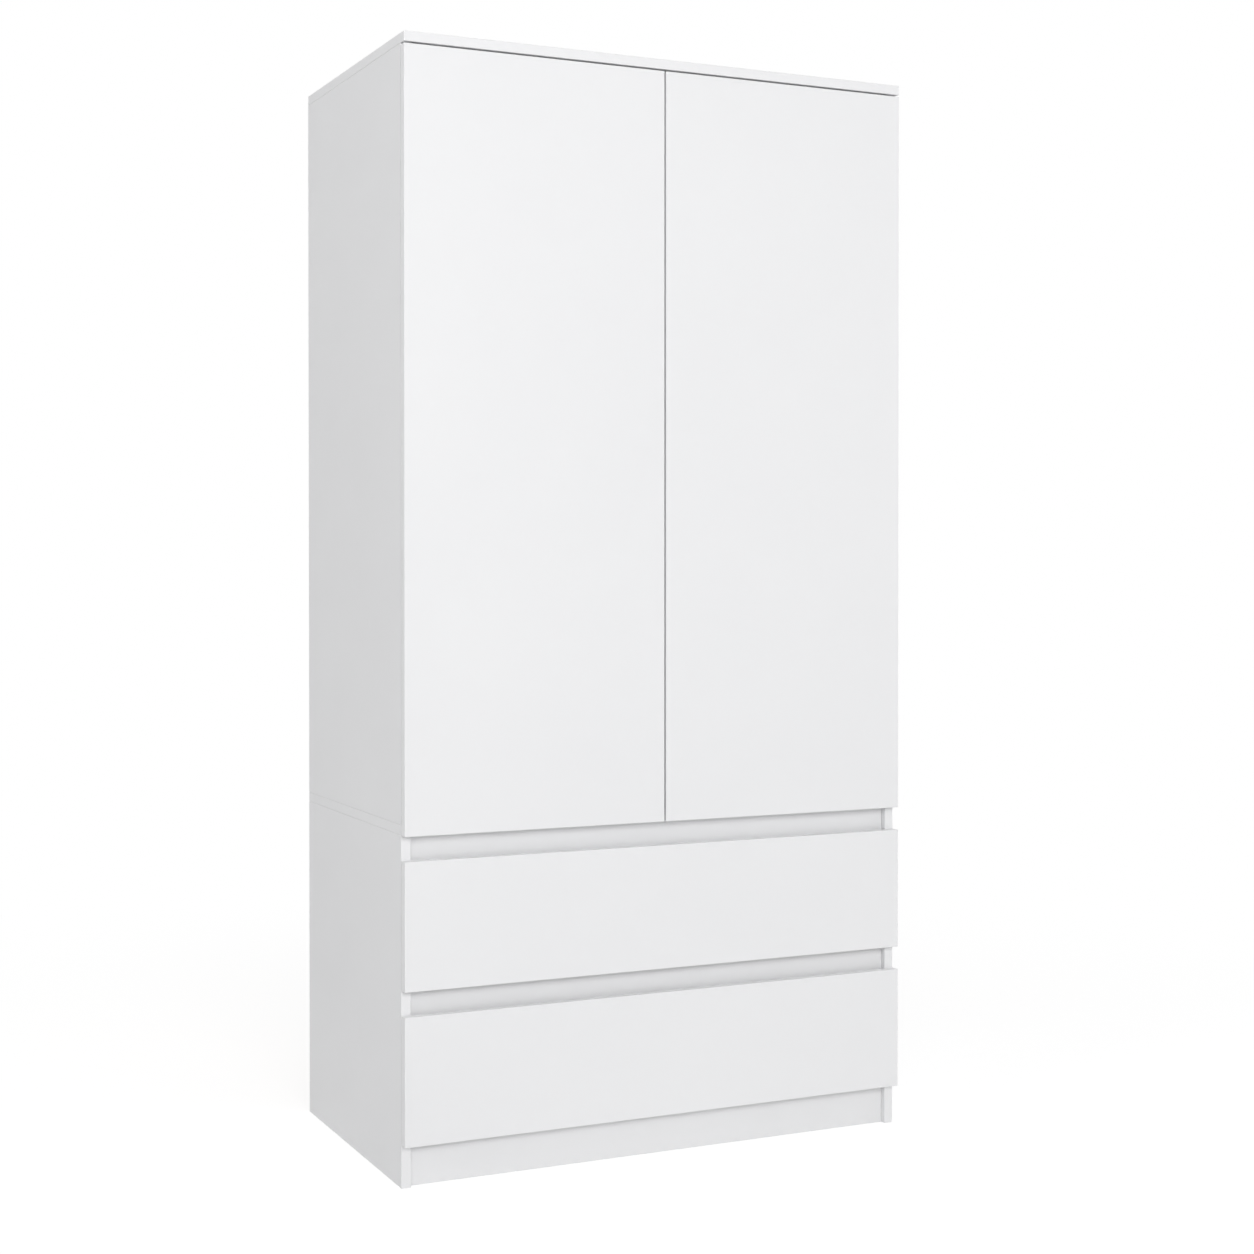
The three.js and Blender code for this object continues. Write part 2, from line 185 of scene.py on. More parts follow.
def chrome():
    """Polished chrome with a slight haze that runs along the rail."""
    finish = Finish("chrome", color=(0.83, 0.84, 0.86), roughness=0.08, metallic=1.0)
    haze = finish.noise(scale=90, detail=3, place=finish.stretched((0.05, 1, 1)))
    finish.roughness(finish.spread(haze, low=0.05, high=0.13))
    return finish.material


def white_plastic():
    """Moulded white plastic with a fine spark-eroded grain."""
    finish = Finish("white_plastic", color=(0.8, 0.8, 0.79), roughness=0.42)
    clouds = finish.spread(finish.noise(scale=30, detail=3), low=0, high=1)
    finish.color(finish.blend(clouds, (0.78, 0.78, 0.77), (0.82, 0.82, 0.81)))
    finish.roughness(finish.spread(finish.noise(scale=160, detail=2), low=0.36, high=0.48))
    finish.bump(finish.noise(scale=1500, detail=2), depth=0.03 * MM, strength=0.5)
    return finish.material


def soft_clear():
    """Clear rubbery door buffers."""
    finish = Finish("soft_clear", color=(0.86, 0.87, 0.88), roughness=0.22)
    finish.shader.inputs["Transmission Weight"].default_value = 0.55
    finish.shader.inputs["IOR"].default_value = 1.45
    finish.roughness(finish.spread(finish.noise(scale=400, detail=2), low=0.18, high=0.3))
    return finish.material


# ---------- making pieces ----------


def hung(mesh, material, body):
    """An object at the origin for a mesh that has its place in its points. It rides on a body."""
    mesh.materials.append(material)
    mesh.shade_smooth()
    made = bpy.data.objects.new(mesh.name, mesh)
    bpy.context.scene.collection.objects.link(made)
    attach(made, body)
    return made


def piece(name, shape, material, body):
    """A new piece from a shape, which is a pair of points and faces."""
    points, faces = shape
    mesh = bpy.data.meshes.new(name)
    mesh.from_pydata(np.asarray(points).tolist(), [], faces)
    return hung(mesh, material, body)


def body_of(node):
    bodies = frame["record"]["behaviour"]["bodies"]
    return next(body for body, members in bodies.items() if node in members)


def punched(made, punches):
    """Takes the punches' solids out of a piece and keeps the result as its mesh."""
    tool = bpy.data.objects.new("punches", bpy.data.meshes.new("punches"))
    tool.data.from_pydata(punches[0].tolist(), [], punches[1])
    bpy.context.scene.collection.objects.link(tool)
    cut = made.modifiers.new("holes", "BOOLEAN")
    cut.operation = "DIFFERENCE"
    cut.solver = "EXACT"
    cut.object = tool
    finished = made.evaluated_get(bpy.context.evaluated_depsgraph_get())
    mesh = bpy.data.meshes.new_from_object(finished)
    made.modifiers.clear()
    made.data = mesh
    bpy.data.objects.remove(tool)


SAME_POINT = 0.002 * MM
SAME_PLANE = math.radians(0.4)
SHARP = math.radians(50)


def rounded(node, radius, material, segments=3, punches=None):
    """The node's own shape with its arrises rounded: a merged copy, flat faces joined, and a bevel."""
    shape = bmesh.new()
    shape.from_mesh(frame["nodes"][node].data)
    bmesh.ops.remove_doubles(shape, verts=shape.verts, dist=SAME_POINT)
    bmesh.ops.dissolve_limit(shape, angle_limit=SAME_PLANE, verts=shape.verts, edges=shape.edges)
    mesh = bpy.data.meshes.new(f"{node}_finished")
    shape.to_mesh(mesh)
    shape.free()
    if mesh.has_custom_normals:  # the loose triangles' own would bend the shading of the joined faces
        mesh.attributes.remove(mesh.attributes["custom_normal"])
    made = hung(mesh, material, body_of(node))
    if punches:
        punched(made, punches)
    bevel = made.modifiers.new("arris", "BEVEL")
    bevel.width = radius
    bevel.segments = segments
    bevel.limit_method = "ANGLE"
    bevel.angle_limit = SHARP
    bevel.harden_normals = True
    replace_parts(made, node)
    return made


def outer_uprights(made, share, rest):
    """Shares of the arris radius, as weights on the edges.

    One share goes to the edges that run mostly up and lie farthest from the wardrobe's middle plane,
    and the other to the rest."""
    mesh = made.data
    points = np.empty((len(mesh.vertices), 3), np.float32)
    mesh.vertices.foreach_get("co", points.ravel())
    ends = np.empty((len(mesh.edges), 2), np.int32)
    mesh.edges.foreach_get("vertices", ends.ravel())
    along, back, up = np.abs(points[ends[:, 0]] - points[ends[:, 1]]).T
    off = np.abs(points[ends[:, 0], 0])
    outer = (up > np.maximum(along, back)) & (off > off.max() - 1 * MM)
    weight = np.where(outer, share, rest).astype(np.float32)
    mesh.attributes.new("bevel_weight_edge", "FLOAT", "EDGE").data.foreach_set("value", weight)
    made.modifiers["arris"].limit_method = "WEIGHT"


def ring_faces(rings, sides):
    """Quads between closed rings of points, and one face over the first ring and one over the last."""
    ring, side = np.meshgrid(np.arange(rings - 1), np.arange(sides), indexing="ij")
    after = (side + 1) % sides
    low, high = ring * sides, (ring + 1) * sides
    quads = np.stack([low + side, low + after, high + after, high + side], -1).reshape(-1, 4)
    return [*quads.tolist(), list(range(sides))[::-1], list(range((rings - 1) * sides, rings * sides))]


def turned(profile, sides):
    """A turned solid: radius and height pairs from foot to top, carried round the Z axis."""
    radius, height = np.array(profile, float).T
    angle = np.arange(sides) * 2 * math.pi / sides
    points = np.stack([
        radius[:, None] * np.cos(angle),
        radius[:, None] * np.sin(angle),
        height[:, None] + 0 * angle,
    ], -1).reshape(-1, 3)
    return points, ring_faces(len(radius), sides)


def slab(rounds, low, high, low_edge=0.2 * MM, high_edge=0.2 * MM, sides=48):
    """A plate of one thickness whose convex outline wraps round discs, with rounded edges.

    rounds lists the discs as (along, across, radius). In a direction n the outline's point is the
    centre of the disc that reaches farthest along n, plus its radius times n. Over an edge, t runs
    from 0 on the face to 90 degrees on the rim: the radius is short by edge (1 - sin t), and the
    level is edge (1 - cos t) away from the face."""
    discs = np.array(rounds, float)
    angle = np.arange(sides) * 2 * math.pi / sides
    way = np.stack([np.cos(angle), np.sin(angle)], -1)
    farthest = np.argmax(discs[:, :2] @ way.T + discs[:, 2:], axis=0)
    centre, radius = discs[farthest, :2], discs[farthest, 2]
    turn = np.linspace(0, math.pi / 2, 4)
    inset = np.concatenate([low_edge * (1 - np.sin(turn)), high_edge * (1 - np.sin(turn[::-1]))])
    rise = 1 - np.cos(turn)
    level = np.concatenate([low + low_edge * rise, high - high_edge * rise[::-1]])
    flat = centre + (radius - inset[:, None])[..., None] * way
    points = np.concatenate([flat, np.broadcast_to(level[:, None, None], flat.shape[:2] + (1,))], -1)
    return points.reshape(-1, 3), ring_faces(len(level), sides)


def stood(shape, at, along, across, up):
    """A shape moved to a point, with its axes laid along three directions.

    A basis that mirrors it has its faces reversed, so that they still point outwards."""
    basis = np.array([along, across, up], float)
    points, faces = shape
    if np.linalg.det(basis) < 0:
        faces = [face[::-1] for face in faces]
    return points @ basis + np.array(at, float), faces


def joined(shapes):
    """Several closed shapes as the points and faces of one mesh."""
    starts = np.cumsum([0] + [len(points) for points, _ in shapes])
    faces = []
    for start, (_, part) in zip(starts, shapes):
        faces += [(start + np.array(face)).tolist() for face in part]
    return np.concatenate([points for points, _ in shapes]), faces


CROSS_ARM = 0.17  # half the width of an arm of the cross, over the head's radius
CROSS_REACH = 0.6  # the length of an arm, over the head's radius
CROSS_DEPTH = 0.75  # the recess, over the head's rise
HEAD_DROP = 0.6  # from the middle of the dome to its rim, over its rise


def cross_head(radius, rise, sides=24):
    """A domed screw head with a cross recess, on a grid of rings from the rim to the middle.

    The height is rise (1 - drop r squared), r from 0 in the middle to 1 at the rim, less the recess
    where the point lies within the cross."""
    share = np.array([1.0, 1.0, 0.86, 0.66, 0.56, 0.4, 0.22])
    angle = np.arange(sides) * 2 * math.pi / sides
    along = radius * share[:, None] * np.cos(angle)
    over = radius * share[:, None] * np.sin(angle)
    dome = rise * (1 - HEAD_DROP * share[:, None] ** 2) + 0 * angle
    arm = np.minimum(abs(along), abs(over)) < CROSS_ARM * radius
    recess = arm & (share[:, None] < CROSS_REACH)
    height = np.where(recess, dome - CROSS_DEPTH * rise, dome)
    height[0] = 0
    points = np.stack([along, over, height], -1).reshape(-1, 3)
    return points, ring_faces(len(share), sides)


def placed(shape, places):
    """Copies of one shape, each stood on a point with its Z axis along a normal, joined to one mesh."""
    copies = []
    for at, normal in places:
        up = np.array(normal, float)
        side = np.cross(UP if up[2] == 0 else ALONG, up)
        copies.append(stood(shape, at, side, np.cross(up, side), up))
    return joined(copies)


def fasten(name, shape, places, material, body):
    return piece(name, placed(shape, places), material, body)


# ---------- the boards ----------

BOARD_ARRIS = 0.6 * MM
CASE_ARRIS = 1.0 * MM  # the stacked case boards, whose seams show as fine lines on the sides
OUTSIDE_SHARE = 0.3  # of it along the side boards' upright outside edges, where the doors end
END_ARRIS = 1.6 * MM  # the ends of the rails and the plinth, where they meet the side boards
BOX_ARRIS = 0.5 * MM


def make_boards(foil):
    for node in ("top_panel", "middle_panel"):
        rounded(node, CASE_ARRIS, foil)
    for node in ("bottom_panel", "hat_shelf"):
        rounded(node, BOARD_ARRIS, foil)
    for node in ("plinth", "upper_grip_rail", "lower_grip_rail"):
        outer_uprights(rounded(node, END_ARRIS, foil), 1.0, BOARD_ARRIS / END_ARRIS)
    for hand, _ in HANDS:
        rounded(f"{hand}_door", BOARD_ARRIS, foil)
    for tier in TIERS:
        rounded(f"{tier}_drawer_front", BOARD_ARRIS, foil)
        for hand, _ in HANDS:
            outer_uprights(rounded(f"{tier}_{hand}_side", CASE_ARRIS, foil), OUTSIDE_SHARE, 1.0)
        for part in ("left_side", "right_side", "back"):
            rounded(f"{tier}_drawer_{part}", BOX_ARRIS, foil)


STRIP_ARRIS = 0.3 * MM
SHEET_ARRIS = 0.2 * MM
RAW_SKIN = 0.5 * MM  # how far the raw side's brown goes round onto a sheet's edges


def make_sheets(plastic):
    """The back sheets, raw outside, the strip that joins them, and the drawer bottoms, raw below."""
    rounded("back_join_strip", STRIP_ARRIS, plastic, 2)
    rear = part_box("upper_back_left")[1].y
    back = fibreboard("back_sheet", axis=1, level=rear - RAW_SKIN, sign=1)
    for node in ("upper_back_left", "upper_back_right", "lower_back_panel"):
        rounded(node, SHEET_ARRIS, back, 1)
    for tier in TIERS:
        node = f"{tier}_drawer_bottom"
        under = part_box(node)[0].z
        sheet = fibreboard(f"{tier}_drawer_sheet", axis=2, level=under + RAW_SKIN, sign=-1)
        rounded(node, SHEET_ARRIS, sheet, 1)


# ---------- the hardware ----------


def plain(made):
    """Keeps flat faces flat in the shading, beside their rounded edges."""
    made.modifiers.new("flat_faces", "WEIGHTED_NORMAL")
    return made


RAIL_ARRIS = 0.3 * MM
SOCKET_ARRIS = 0.6 * MM
SOCKET_PLATE = 2.5 * MM
SOCKET_RIM = 5 * MM


def make_rail(bright, plastic, steel):
    """The hanging rail, and the sockets that hold its ends with two small screws each."""
    rounded("hanging_rail", RAIL_ARRIS, bright, 2)
    places = []
    for hand, sign in HANDS:
        node = f"rail_socket_{hand}"
        rounded(node, SOCKET_ARRIS, plastic, 2)
        low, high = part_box(node)
        middle = (low + high) / 2
        plate = (high.x if sign > 0 else low.x) - sign * SOCKET_PLATE
        reach = (high.z - low.z) / 2 - SOCKET_RIM / 2
        places += [((plate, middle.y, middle.z + end * reach), (-sign, 0, 0)) for end in (-1, 1)]
    screw = cross_head(radius=1.9 * MM, rise=0.6 * MM)
    fasten("rail_socket_screws", screw, places, steel, "carcass")


# ---------- concealed hinges ----------
# stations run back from the case's front edge, and lifts away from the side board

PIVOT_BACK, PIVOT_LIFT = 4 * MM, 14 * MM
EAR_INNER, EAR_OUTER = 4.8 * MM, 8 * MM  # an ear's two faces, from the hinge's middle height
ARM_FRONT, ARM_END = 8 * MM, 70 * MM
PLATE_FRONT, PLATE_END = 18 * MM, 62 * MM
WINGS_AT = (PLATE_FRONT + PLATE_END) / 2
WING_SCREW_AT = 18 * MM
PLATE_LIFT, WING_LIFT, ARM_LIFT = 3 * MM, 2.5 * MM, 11 * MM
ARM_SCREWS = (24 * MM, 52 * MM)
FLANGE_HALF = 7 * MM
FLANGE_REACH = 27 * MM  # from the cup's middle to the end of its flange
CUP_SCREW_AT = 22 * MM
CUP_ARRIS, LINK_ARRIS = 0.3 * MM, 0.4 * MM


def corner_rounds(start, end, half, radius):
    """Four discs in the corners of a rectangle."""
    return [(x + side * radius, y, radius) for x, side in ((start, 1), (end, -1))
            for y in (radius - half, half - radius)]


def end_cut():
    """A block with a half-round mouth, which rounds the end of a cup's flange.

    Its axes run across, along and out of the flange: a half circle closed by three sides of a
    rectangle, carried from one level to the other."""
    turn = np.linspace(math.pi, 0, 17)
    mouth = FLANGE_HALF * np.stack([np.cos(turn), np.sin(turn)], -1)
    clear = FLANGE_HALF + 1 * MM
    outline = np.concatenate([mouth, [(clear, 0), (clear, clear), (-clear, clear), (-clear, 0)]])
    level = np.repeat([-1 * MM, 1.5 * MM], len(outline))
    return np.column_stack([np.tile(outline, (2, 1)), level]), ring_faces(2, len(outline))


def hinge_arm():
    """Mounting plate with two rounded wings, the arm on it, and the two ears round the link's pin.

    Its axes run back, up and away from the side board."""
    tips = [(WINGS_AT, end * 17 * MM, 8 * MM) for end in (-1, 1)]
    wings = slab(tips, 0, WING_LIFT, high_edge=0.7 * MM)
    footprint = corner_rounds(PLATE_FRONT, PLATE_END, half=11 * MM, radius=3 * MM)
    plate = slab(footprint, 0, PLATE_LIFT, high_edge=0.8 * MM)
    channel = corner_rounds(ARM_FRONT, ARM_END, half=EAR_OUTER, radius=3.2 * MM)
    arm = slab(channel, PLATE_LIFT, ARM_LIFT, high_edge=2.6 * MM)
    eye, root = (PIVOT_BACK, PIVOT_LIFT, 3.5 * MM), (14 * MM, 7.6 * MM, 3.2 * MM)
    ear = slab([eye, root], EAR_INNER, EAR_OUTER)
    back, up, away = np.eye(3)
    ears = [stood(ear, (0, 0, 0), back, away, end * up) for end in (1, -1)]
    return joined([wings, plate, arm, *ears])


def make_hinges(steel):
    arm = hinge_arm()
    rivet = slab([(0, 0, 2.2 * MM)], 0, 0.8 * MM, high_edge=0.7 * MM, sides=20)
    screw = cross_head(radius=3.4 * MM, rise=1.1 * MM)
    cut = end_cut()
    for hand, sign in HANDS:
        case_low, case_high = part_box(f"upper_{hand}_side")
        face = case_low.x if sign > 0 else case_high.x
        inward = (-sign, 0, 0)
        on_door, on_side, on_pins = [], [], []
        for place in HINGE_PLACES:
            low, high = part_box(f"{hand}_{place}_hinge_cup")
            middle = (low + high) / 2
            bend = FLANGE_REACH - FLANGE_HALF
            cuts = [stood(cut, (middle.x, high.y, middle.z + end * bend), ALONG, (0, 0, end), BACK)
                    for end in (-1, 1)]
            rounded(f"{hand}_{place}_hinge_cup", CUP_ARRIS, steel, 2, joined(cuts))
            rounded(f"{hand}_{place}_hinge_link", LINK_ARRIS, steel, 2)
            node = f"{hand}_{place}_hinge_arm"
            shape = stood(arm, (face, case_low.y, middle.z), BACK, UP, inward)
            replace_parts(plain(piece(f"{node}_finished", shape, steel, "carcass")), node)
            for end in (-1, 1):
                on_door.append(((middle.x, high.y, middle.z + end * CUP_SCREW_AT), BACK))
                wing = (face - sign * WING_LIFT, case_low.y + WINGS_AT, middle.z + end * WING_SCREW_AT)
                on_side.append((wing, inward))
                pin = (face - sign * PIVOT_LIFT, case_low.y + PIVOT_BACK, middle.z + end * EAR_OUTER)
                on_pins.append((pin, (0, 0, end)))
            for back in ARM_SCREWS:
                on_side.append(((face - sign * ARM_LIFT, case_low.y + back, middle.z), inward))
        fasten(f"{hand}_hinge_cup_screws", screw, on_door, steel, f"{hand}_door")
        fasten(f"{hand}_hinge_arm_screws", screw, on_side, steel, "carcass")
        links = f"{hand}_hinge_links"
        plain(fasten(f"{hand}_hinge_rivets", rivet, on_pins, steel, links))


# ---------- telescopic slides; stations are measured from a member's front end ----------

SLIDE_STEEL = 1.2 * MM
SLIDE_ARRIS = 0.25 * MM
INNER_SCREWS = (35 * MM, 222 * MM, 372 * MM)
INNER_SLOTS = (66 * MM, 262 * MM, 404 * MM)
INNER_HOLES = (50 * MM, 97 * MM, 302 * MM, 434 * MM)
MIDDLE_SLOTS = (40 * MM, 150 * MM, 340 * MM)
MIDDLE_HOLES = (95 * MM, 240 * MM, 430 * MM)
SLOT_REACH = 5 * MM  # half a slot's length without its round ends
HOLE = 2.4 * MM  # the radius of every hole and slot end
LEVER_START, LEVER_END = 118 * MM, 188 * MM
CAGE_START, CAGE_END = 10 * MM, 130 * MM
CAGE_HALF = 15.5 * MM
CAGE_SET = 4.3 * MM  # from the middle member's web to the ball cage
BALL = 1.5 * MM
BALLS, BALLS_IN = 9, 8 * MM  # balls in a row, and the first and last one's place from the cage's ends
BACK_SCREW_IN = 6 * MM  # screws through a drawer's side into its back board, from the rear end
BACK_SCREW_LOW, BACK_SCREW_HIGH = 45 * MM, 30 * MM  # and from the side's bottom and top edge


def web_punches(start, slots, holes):
    """Solids of the slots and round holes in a slide member's web, from the middle of its front end."""
    ends = [(at - SLOT_REACH, at + SLOT_REACH) for at in slots] + [(at, at) for at in holes]
    through = 2 * MM
    cuts = [slab([(first, 0, HOLE), (last, 0, HOLE)], -through, through, sides=24)
            for first, last in ends]
    return joined([stood(cut, start, BACK, UP, ALONG) for cut in cuts])


def ball(radius, rings=7, sides=10):
    """A sphere: radius sin t from its axis and radius cos t below its middle, t up to 180 degrees."""
    turn = np.linspace(0.2, math.pi - 0.2, rings)
    return turned(np.stack([radius * np.sin(turn), -radius * np.cos(turn)], -1), sides)


def release_lever():
    """A tapered plastic strip with a thumb pad. Its axes run back, up and away from the web."""
    wide, narrow, edge = 6 * MM, 2.5 * MM, 0.8 * MM
    thumb = LEVER_START + wide
    taper = [(thumb, 0, wide), (LEVER_END - narrow, 0, narrow)]
    oval = [(thumb, 0, 4 * MM), (thumb + 9 * MM, 0, 3.4 * MM)]
    strip = slab(taper, 0, 2 * MM, high_edge=edge)
    pad = slab(oval, 1 * MM, 2.9 * MM, high_edge=edge)
    return joined([strip, pad])


def make_slides(steel, plastic):
    """Slide members with punched webs, their screws, the release levers and the ball cages."""
    screw = cross_head(radius=3.2 * MM, rise=0.9 * MM)
    lever = release_lever()
    cage = slab(corner_rounds(CAGE_START, CAGE_END, CAGE_HALF, 2 * MM), -0.4 * MM, 0.4 * MM)
    ball_stations = np.linspace(CAGE_START + BALLS_IN, CAGE_END - BALLS_IN, BALLS)
    for tier in TIERS:
        screws, levers, cages, balls = [], [], [], []
        for hand, sign in HANDS:
            outward = (sign, 0, 0)
            rounded(f"{tier}_{hand}_slide_outer", SLIDE_ARRIS, steel, 2)

            node = f"{tier}_{hand}_slide_inner"
            low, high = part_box(node)
            level = (low.z + high.z) / 2
            board = low.x if sign > 0 else high.x
            start = (board + sign * SLIDE_STEEL / 2, low.y, level)
            rounded(node, SLIDE_ARRIS, steel, 2, web_punches(start, INNER_SLOTS, INNER_HOLES))
            web = board + sign * SLIDE_STEEL
            screws += [((web, low.y + at, level), outward) for at in INNER_SCREWS]
            levers.append(stood(lever, (web, low.y, level), BACK, UP, outward))

            node = f"{tier}_{hand}_slide_middle"
            low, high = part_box(node)
            side = high.x if sign > 0 else low.x
            start = (side - sign * SLIDE_STEEL / 2, low.y, level)
            rounded(node, SLIDE_ARRIS, steel, 2, web_punches(start, MIDDLE_SLOTS, MIDDLE_HOLES))
            inside = side - sign * (SLIDE_STEEL + CAGE_SET)
            cages.append(stood(cage, (inside, low.y, level), BACK, UP, outward))
            rows = [level + end * (CAGE_HALF + 1 * MM) for end in (-1, 1)]
            balls += [((inside, low.y + at, z), ALONG) for at in ball_stations for z in rows]

            low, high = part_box(f"{tier}_drawer_{hand}_side")
            face = high.x if sign > 0 else low.x
            levels = (low.z + BACK_SCREW_LOW, high.z - BACK_SCREW_HIGH)
            screws += [((face, high.y - BACK_SCREW_IN, z), outward) for z in levels]
        drawer, middles = f"{tier}_drawer", f"{tier}_slide_middles"
        fasten(f"{tier}_drawer_screws", screw, screws, steel, drawer)
        plain(piece(f"{tier}_release_levers", joined(levers), plastic, drawer))
        plain(piece(f"{tier}_ball_cages", joined(cages), steel, middles))
        fasten(f"{tier}_slide_balls", ball(BALL), balls, steel, middles)


# ---------- nails, buffers and caps ----------

NAIL_PITCH = 110 * MM
NAIL_INSET = 8 * MM  # from a sheet's top and bottom edge
NAIL_SIDE = 6 * MM  # from a sheet's side edge to the row along it
NAIL_END = 24 * MM  # from a sheet's corner to the first nail of a row
BOTTOM_NAILS, BOTTOM_NAIL_END = 8, 30 * MM


def make_back_nails(steel):
    """Flat heads round each back sheet's rim and across the lower one at the bottom panel."""
    profile = [(1.6, 0), (1.6, 0.25), (1.1, 0.55), (0.4, 0.68)]
    head = turned(np.array(profile) * MM, 10)
    # for each sheet, its outer side edges and whether its bottom edge is nailed
    sheets = {
        "upper_back_left": ((-1,), True),
        "upper_back_right": ((1,), True),
        "lower_back_panel": ((-1, 1), False),
    }
    spots = []
    for node, (sides, nailed_below) in sheets.items():
        low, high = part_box(node)
        width, height = high.x - low.x, high.z - low.z
        columns, rows = round((width - 2 * NAIL_INSET) / NAIL_PITCH), round(height / NAIL_PITCH)
        across = np.linspace(low.x + NAIL_END, high.x - NAIL_END, columns)
        along = np.linspace(low.z + NAIL_END, high.z - NAIL_END, rows)
        levels = [low.z + NAIL_INSET] * nailed_below + [high.z - NAIL_INSET]
        spots += [(x, z) for z in levels for x in across]
        edges = [high.x - NAIL_SIDE if side > 0 else low.x + NAIL_SIDE for side in sides]
        spots += [(x, z) for x in edges for z in along]
    low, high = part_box("bottom_panel")
    across = np.linspace(low.x + BOTTOM_NAIL_END, high.x - BOTTOM_NAIL_END, BOTTOM_NAILS)
    spots += [(x, (low.z + high.z) / 2) for x in across]
    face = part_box("lower_back_panel")[1].y
    places = [((x, face, z), BACK) for x, z in spots]
    fasten("back_nails", head, places, steel, "carcass")


DOOR_BUFFER = (12 * MM, 9 * MM)  # in from the free edge and from the top or bottom edge
DRAWER_BUFFER = (8 * MM, 14 * MM)


def make_buffers(clear):
    """Clear domes on the doors' free corners and on the drawer fronts' four."""
    profile = [(4, 0), (4, 0.5), (3.5, 1.0), (2.4, 1.35), (1.0, 1.5)]
    dome = turned(np.array(profile) * MM, 20)
    for hand, sign in HANDS:
        low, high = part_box(f"{hand}_door")
        side_in, end_in = DOOR_BUFFER
        x = (high.x if sign < 0 else low.x) + sign * side_in
        spots = [((x, high.y, z), BACK) for z in (low.z + end_in, high.z - end_in)]
        fasten(f"{hand}_door_buffers", dome, spots, clear, f"{hand}_door")
    for tier in TIERS:
        low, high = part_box(f"{tier}_drawer_front")
        side_in, end_in = DRAWER_BUFFER
        columns, rows = (low.x + side_in, high.x - side_in), (low.z + end_in, high.z - end_in)
        spots = [((x, high.y, z), BACK) for x in columns for z in rows]
        fasten(f"{tier}_drawer_buffers", dome, spots, clear, f"{tier}_drawer")


CAM_IN = 34 * MM  # from a joint between boards to the middle of its cam fitting
SIDE_CAM_FRONT, SIDE_CAM_REAR = 90 * MM, 60 * MM
SHELF_CAM_END = 60 * MM
BOX_CAM_LOW, BOX_CAM_HIGH = 40 * MM, 32 * MM


def make_cam_caps(plastic):
    """Shallow covers over the cam fittings, with a dimple in the middle."""
    profile = [(8.6, 0), (8.6, 0.35), (8.2, 0.7), (2.6, 0.9), (2.0, 0.5), (0.6, 0.45)]
    cap = turned(np.array(profile) * MM, 28)
    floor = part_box("middle_panel")[1].z
    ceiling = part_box("top_panel")[0].z
    shelf_low, shelf_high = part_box("hat_shelf")
    on_case = []
    for hand, sign in HANDS:
        low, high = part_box(f"upper_{hand}_side")
        face = low.x if sign > 0 else high.x
        rows = (low.y + SIDE_CAM_FRONT, high.y - SIDE_CAM_REAR)
        levels = (floor + CAM_IN, ceiling - CAM_IN)
        on_case += [((face, y, z), (-sign, 0, 0)) for y in rows for z in levels]
        rows = (shelf_low.y + SHELF_CAM_END, shelf_high.y - SHELF_CAM_END)
        on_case += [((face - sign * CAM_IN, y, shelf_low.z), (0, 0, -1)) for y in rows]
    fasten("carcass_cam_caps", cap, on_case, plastic, "carcass")
    for tier in TIERS:
        on_drawer = []
        for hand, sign in HANDS:
            low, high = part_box(f"{tier}_drawer_{hand}_side")
            face = low.x if sign > 0 else high.x
            levels = (low.z + BOX_CAM_LOW, high.z - BOX_CAM_HIGH)
            on_drawer += [((face, low.y + CAM_IN, z), (-sign, 0, 0)) for z in levels]
        fasten(f"{tier}_drawer_cam_caps", cap, on_drawer, plastic, f"{tier}_drawer")


# ---------- room and light ----------

AMBIENT = 0.40  # the world's strength on the object
FLOOR_LIT = 0.30  # share of lit white in the floor near the wardrobe, which keeps its shadow
FLOOR_OWN = 0.80  # the floor's own white there, so that the two come to white where no shadow falls
FADE_START = 1.0  # metres from the wardrobe's middle, where the floor starts to turn plain white
FADE_END = 2.6
FLOOR_GREY = 0.8  # the floor's colour as the light on the object sees it
FLOOR_REACH = 40.0


def ray_is_seen(nodes, links):
    """1 where the ray comes from the eye, a mirror or a clear piece, 0 where it lights the object."""
    rays = nodes.new("ShaderNodeLightPath")
    total = rays.outputs["Is Camera Ray"]
    for name in ("Is Glossy Ray", "Is Transmission Ray"):
        most = nodes.new("ShaderNodeMath")
        most.operation = "MAXIMUM"
        links.new(total, most.inputs[0])
        links.new(rays.outputs[name], most.inputs[1])
        total = most.outputs[0]
    return total


def make_world():
    world = bpy.data.worlds.new("studio")
    bpy.context.scene.world = world
    world.use_nodes = True
    nodes, links = world.node_tree.nodes, world.node_tree.links
    background = nodes["Background"]
    background.inputs["Color"].default_value = (1, 1, 1, 1)
    strength = nodes.new("ShaderNodeMapRange")
    strength.inputs["To Min"].default_value = AMBIENT
    strength.inputs["To Max"].default_value = 1.0
    links.new(ray_is_seen(nodes, links), strength.inputs["Value"])
    links.new(strength.outputs["Result"], background.inputs["Strength"])


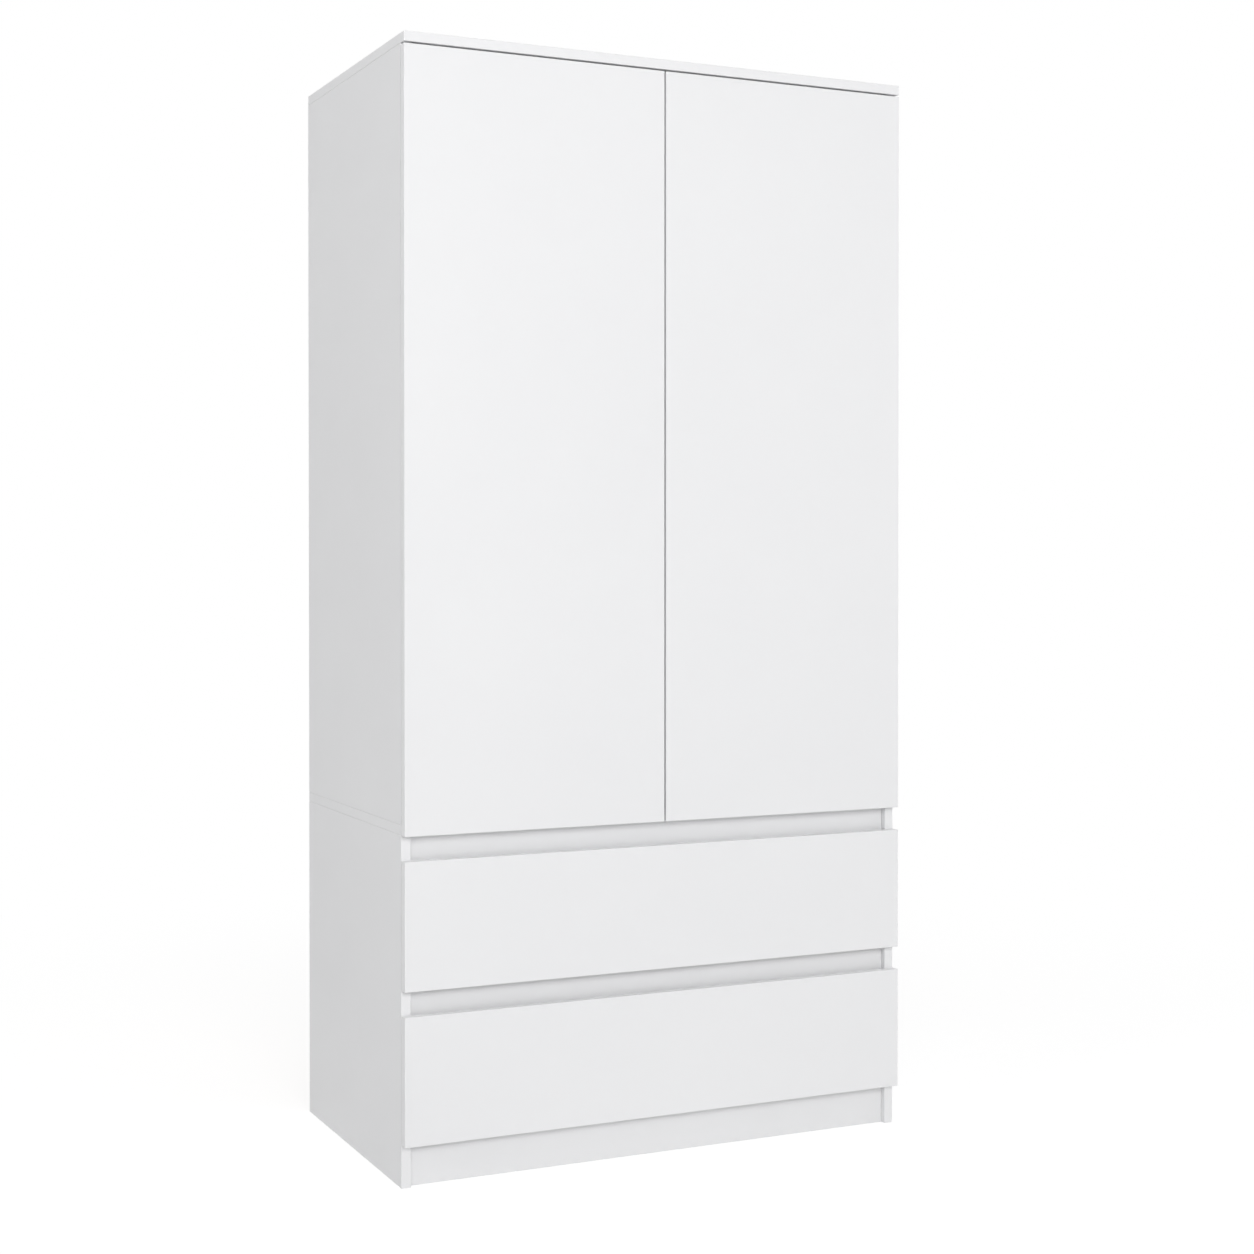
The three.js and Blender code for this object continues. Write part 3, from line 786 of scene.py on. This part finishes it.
def floor_material():
    """Pale matt floor: seen rays get its own white and a lit share, which fade to plain white far off."""
    material = bpy.data.materials.new("floor")
    material.use_nodes = True
    nodes, links = material.node_tree.nodes, material.node_tree.links
    nodes.remove(nodes["Principled BSDF"])

    def matt(level):
        node = nodes.new("ShaderNodeBsdfDiffuse")
        node.inputs["Color"].default_value = (level, level, level, 1)
        return node.outputs["BSDF"]

    def own(level):
        node = nodes.new("ShaderNodeEmission")
        node.inputs["Strength"].default_value = level
        return node.outputs["Emission"]

    def mixed(kind, factor, first, second):
        node = nodes.new(kind)
        if factor:
            links.new(factor, node.inputs["Fac"])
        links.new(first, node.inputs[-2])
        links.new(second, node.inputs[-1])
        return node.outputs["Shader"]

    distance = nodes.new("ShaderNodeVectorMath")
    distance.operation = "LENGTH"
    links.new(nodes.new("ShaderNodeTexCoord").outputs["Object"], distance.inputs[0])
    fade = nodes.new("ShaderNodeMapRange")
    fade.interpolation_type = "SMOOTHSTEP"
    fade.inputs["From Min"].default_value = FADE_START
    fade.inputs["From Max"].default_value = FADE_END
    links.new(distance.outputs["Value"], fade.inputs["Value"])

    near = mixed("ShaderNodeAddShader", None, matt(FLOOR_LIT), own(FLOOR_OWN))
    seen = mixed("ShaderNodeMixShader", fade.outputs["Result"], near, own(1.0))
    surface = mixed("ShaderNodeMixShader", ray_is_seen(nodes, links), matt(FLOOR_GREY), seen)
    links.new(surface, nodes["Material Output"].inputs["Surface"])
    return material


def make_floor():
    mesh = bpy.data.meshes.new("floor")
    corners = FLOOR_REACH * np.array([(-1, -1, 0), (1, -1, 0), (1, 1, 0), (-1, 1, 0)])
    mesh.from_pydata(corners.tolist(), [], [(0, 1, 2, 3)])
    mesh.materials.append(floor_material())
    floor = bpy.data.objects.new("floor", mesh)
    bpy.context.scene.collection.objects.link(floor)


LIT_POINT = (0, 0, 0.95)


def softbox(name, place, size, level):
    """A square lamp that gives about the stated level on a white surface facing it at the lit point."""
    away = np.subtract(place, LIT_POINT)
    distance = float(np.linalg.norm(away))
    data = bpy.data.lights.new(name, "AREA")
    data.size = size
    data.energy = level * math.pi ** 2 * distance ** 2
    lamp = bpy.data.objects.new(name, data)
    lamp.location = place
    lamp.rotation_euler = Vector(away.tolist()).to_track_quat("Z", "Y").to_euler()
    bpy.context.scene.collection.objects.link(lamp)


def make_lights():
    softbox("front_key", (-1.0, -6.2, 2.7), size=2.0, level=0.285)
    softbox("wide_key", (-4.0, -8.0, 3.4), size=4.0, level=0.15)
    softbox("left_fill", (-5.0, -1.5, 4.0), size=2.5, level=0.178)
    softbox("right_fill", (6.0, -1.5, 2.2), size=2.5, level=0.175)
    softbox("back_fill", (1.0, 6.0, 2.4), size=2.5, level=0.10)


make_camera()
make_world()
make_floor()
make_lights()

foil = white_foil()
slide_steel = zinc_steel("slide_steel", along=(1, 0.03, 1))
hinge_steel = zinc_steel("hinge_steel", along=(1, 1, 0.03))
bright = chrome()
plastic = white_plastic()
clear = soft_clear()
make_boards(foil)
make_sheets(plastic)
make_rail(bright, plastic, hinge_steel)
make_hinges(hinge_steel)
make_slides(slide_steel, plastic)
make_back_nails(hinge_steel)
make_buffers(clear)
make_cam_caps(plastic)

bpy.context.scene.view_settings.view_transform = "Standard"
